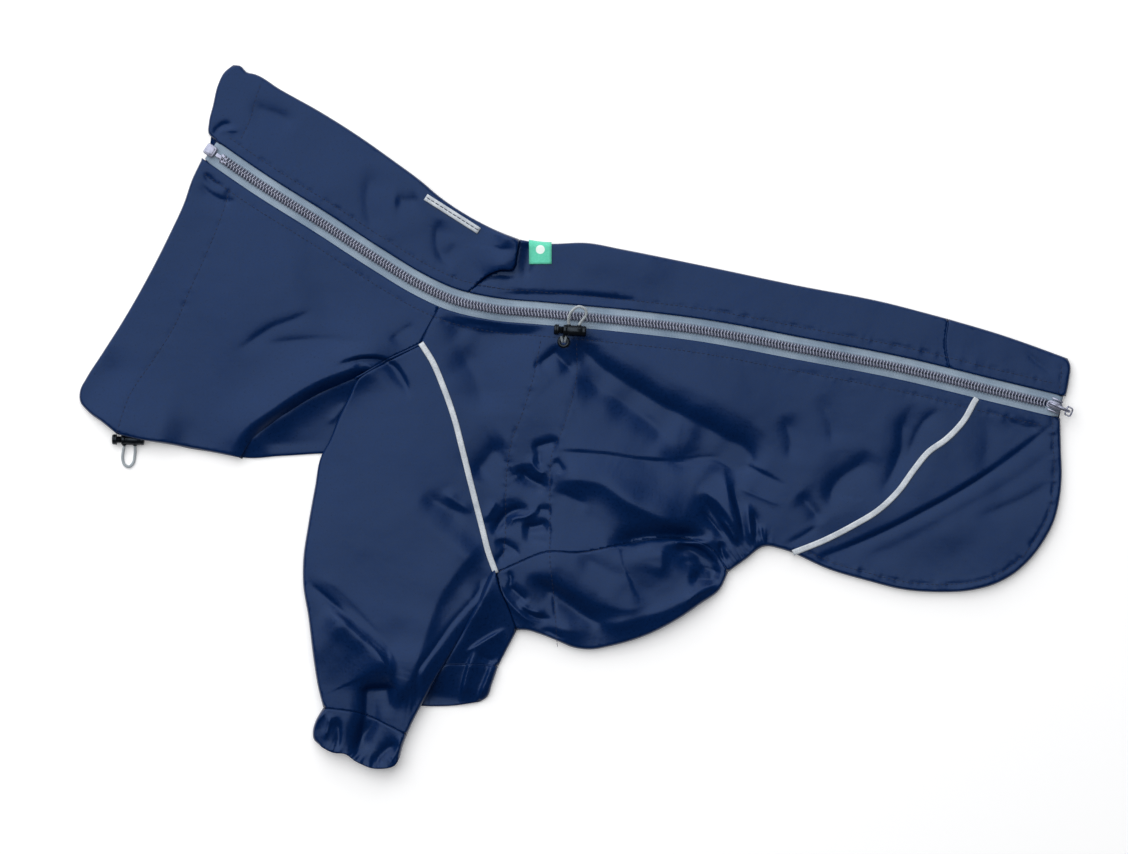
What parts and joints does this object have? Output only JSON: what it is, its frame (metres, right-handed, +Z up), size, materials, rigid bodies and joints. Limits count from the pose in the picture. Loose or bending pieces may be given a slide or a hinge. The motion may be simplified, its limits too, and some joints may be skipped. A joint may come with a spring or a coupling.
{
  "type": "dog raincoat",
  "caption": "Dog's raincoat in coated nylon, zipped along one flank, with a tall neck, short elastic-cuffed sleeves, reflective piping and drawcord locks, laid flat on its side.",
  "frame": {"origin": "centre of the coat's bounding box at the height of the surface that it lies on", "axes": "+X from the neck along the back to the tail, +Y from the belly to the back, +Z up through the layers, so that the side with the zip faces up"},
  "size_m": [0.6156, 0.4359, 0.0179],
  "materials": {
    "coated_nylon_navy": "satin",
    "woven_tape_grey_blue": "matte",
    "metallised_nylon_silver": "gloss",
    "retroreflective_silver": "satin",
    "woven_label_teal": "matte",
    "moulded_nylon_black": "gloss",
    "elastic_cord_grey": "matte"
  },
  "bodies": {
    "garment": {"neck_near": "coated_nylon_navy", "neck_far": "coated_nylon_navy", "chest_panel": "coated_nylon_navy", "body_near": "coated_nylon_navy", "body_far": "coated_nylon_navy", "belly_panel": "coated_nylon_navy", "hip_near": "coated_nylon_navy", "hip_far": "coated_nylon_navy", "sleeve_near": "coated_nylon_navy", "sleeve_far": "coated_nylon_navy", "cuff_near": "coated_nylon_navy", "cuff_far": "coated_nylon_navy", "zip_tape_near": "woven_tape_grey_blue", "zip_tape_far": "woven_tape_grey_blue", "zip_chain": "metallised_nylon_silver", "zip_box": "metallised_nylon_silver", "zip_slider": "metallised_nylon_silver", "piping_armhole": "retroreflective_silver", "piping_hip": "retroreflective_silver", "reflective_strip": "retroreflective_silver", "label": "woven_label_teal", "waist_eyelet": "moulded_nylon_black", "waist_lock": "moulded_nylon_black", "neck_lock": "moulded_nylon_black", "waist_cord": "elastic_cord_grey", "neck_cord": "elastic_cord_grey"},
    "zip_pull": {"zip_pull": "metallised_nylon_silver"},
    "waist_plunger": {"waist_plunger": "moulded_nylon_black"},
    "neck_plunger": {"neck_plunger": "moulded_nylon_black"}
  },
  "joints": [
    {"name": "zip_pull_swing", "type": "hinge", "parent": "garment", "child": "zip_pull", "pos_m": [0.30408, 0.0039, 0.0103], "axis": [0.3986, 0.9171, 0], "range_deg": [-215, 0]},
    {"name": "waist_plunger_press", "type": "slide", "parent": "garment", "child": "waist_plunger", "axis": [0.9976, -0.0698, 0], "range_m": [0, 0.0025], "stiffness_N_per_m": 600, "springref_m": -0.003},
    {"name": "neck_plunger_press", "type": "slide", "parent": "garment", "child": "neck_plunger", "axis": [0.9998, -0.0174, 0], "range_m": [0, 0.0025], "stiffness_N_per_m": 600, "springref_m": -0.003}
  ]
}
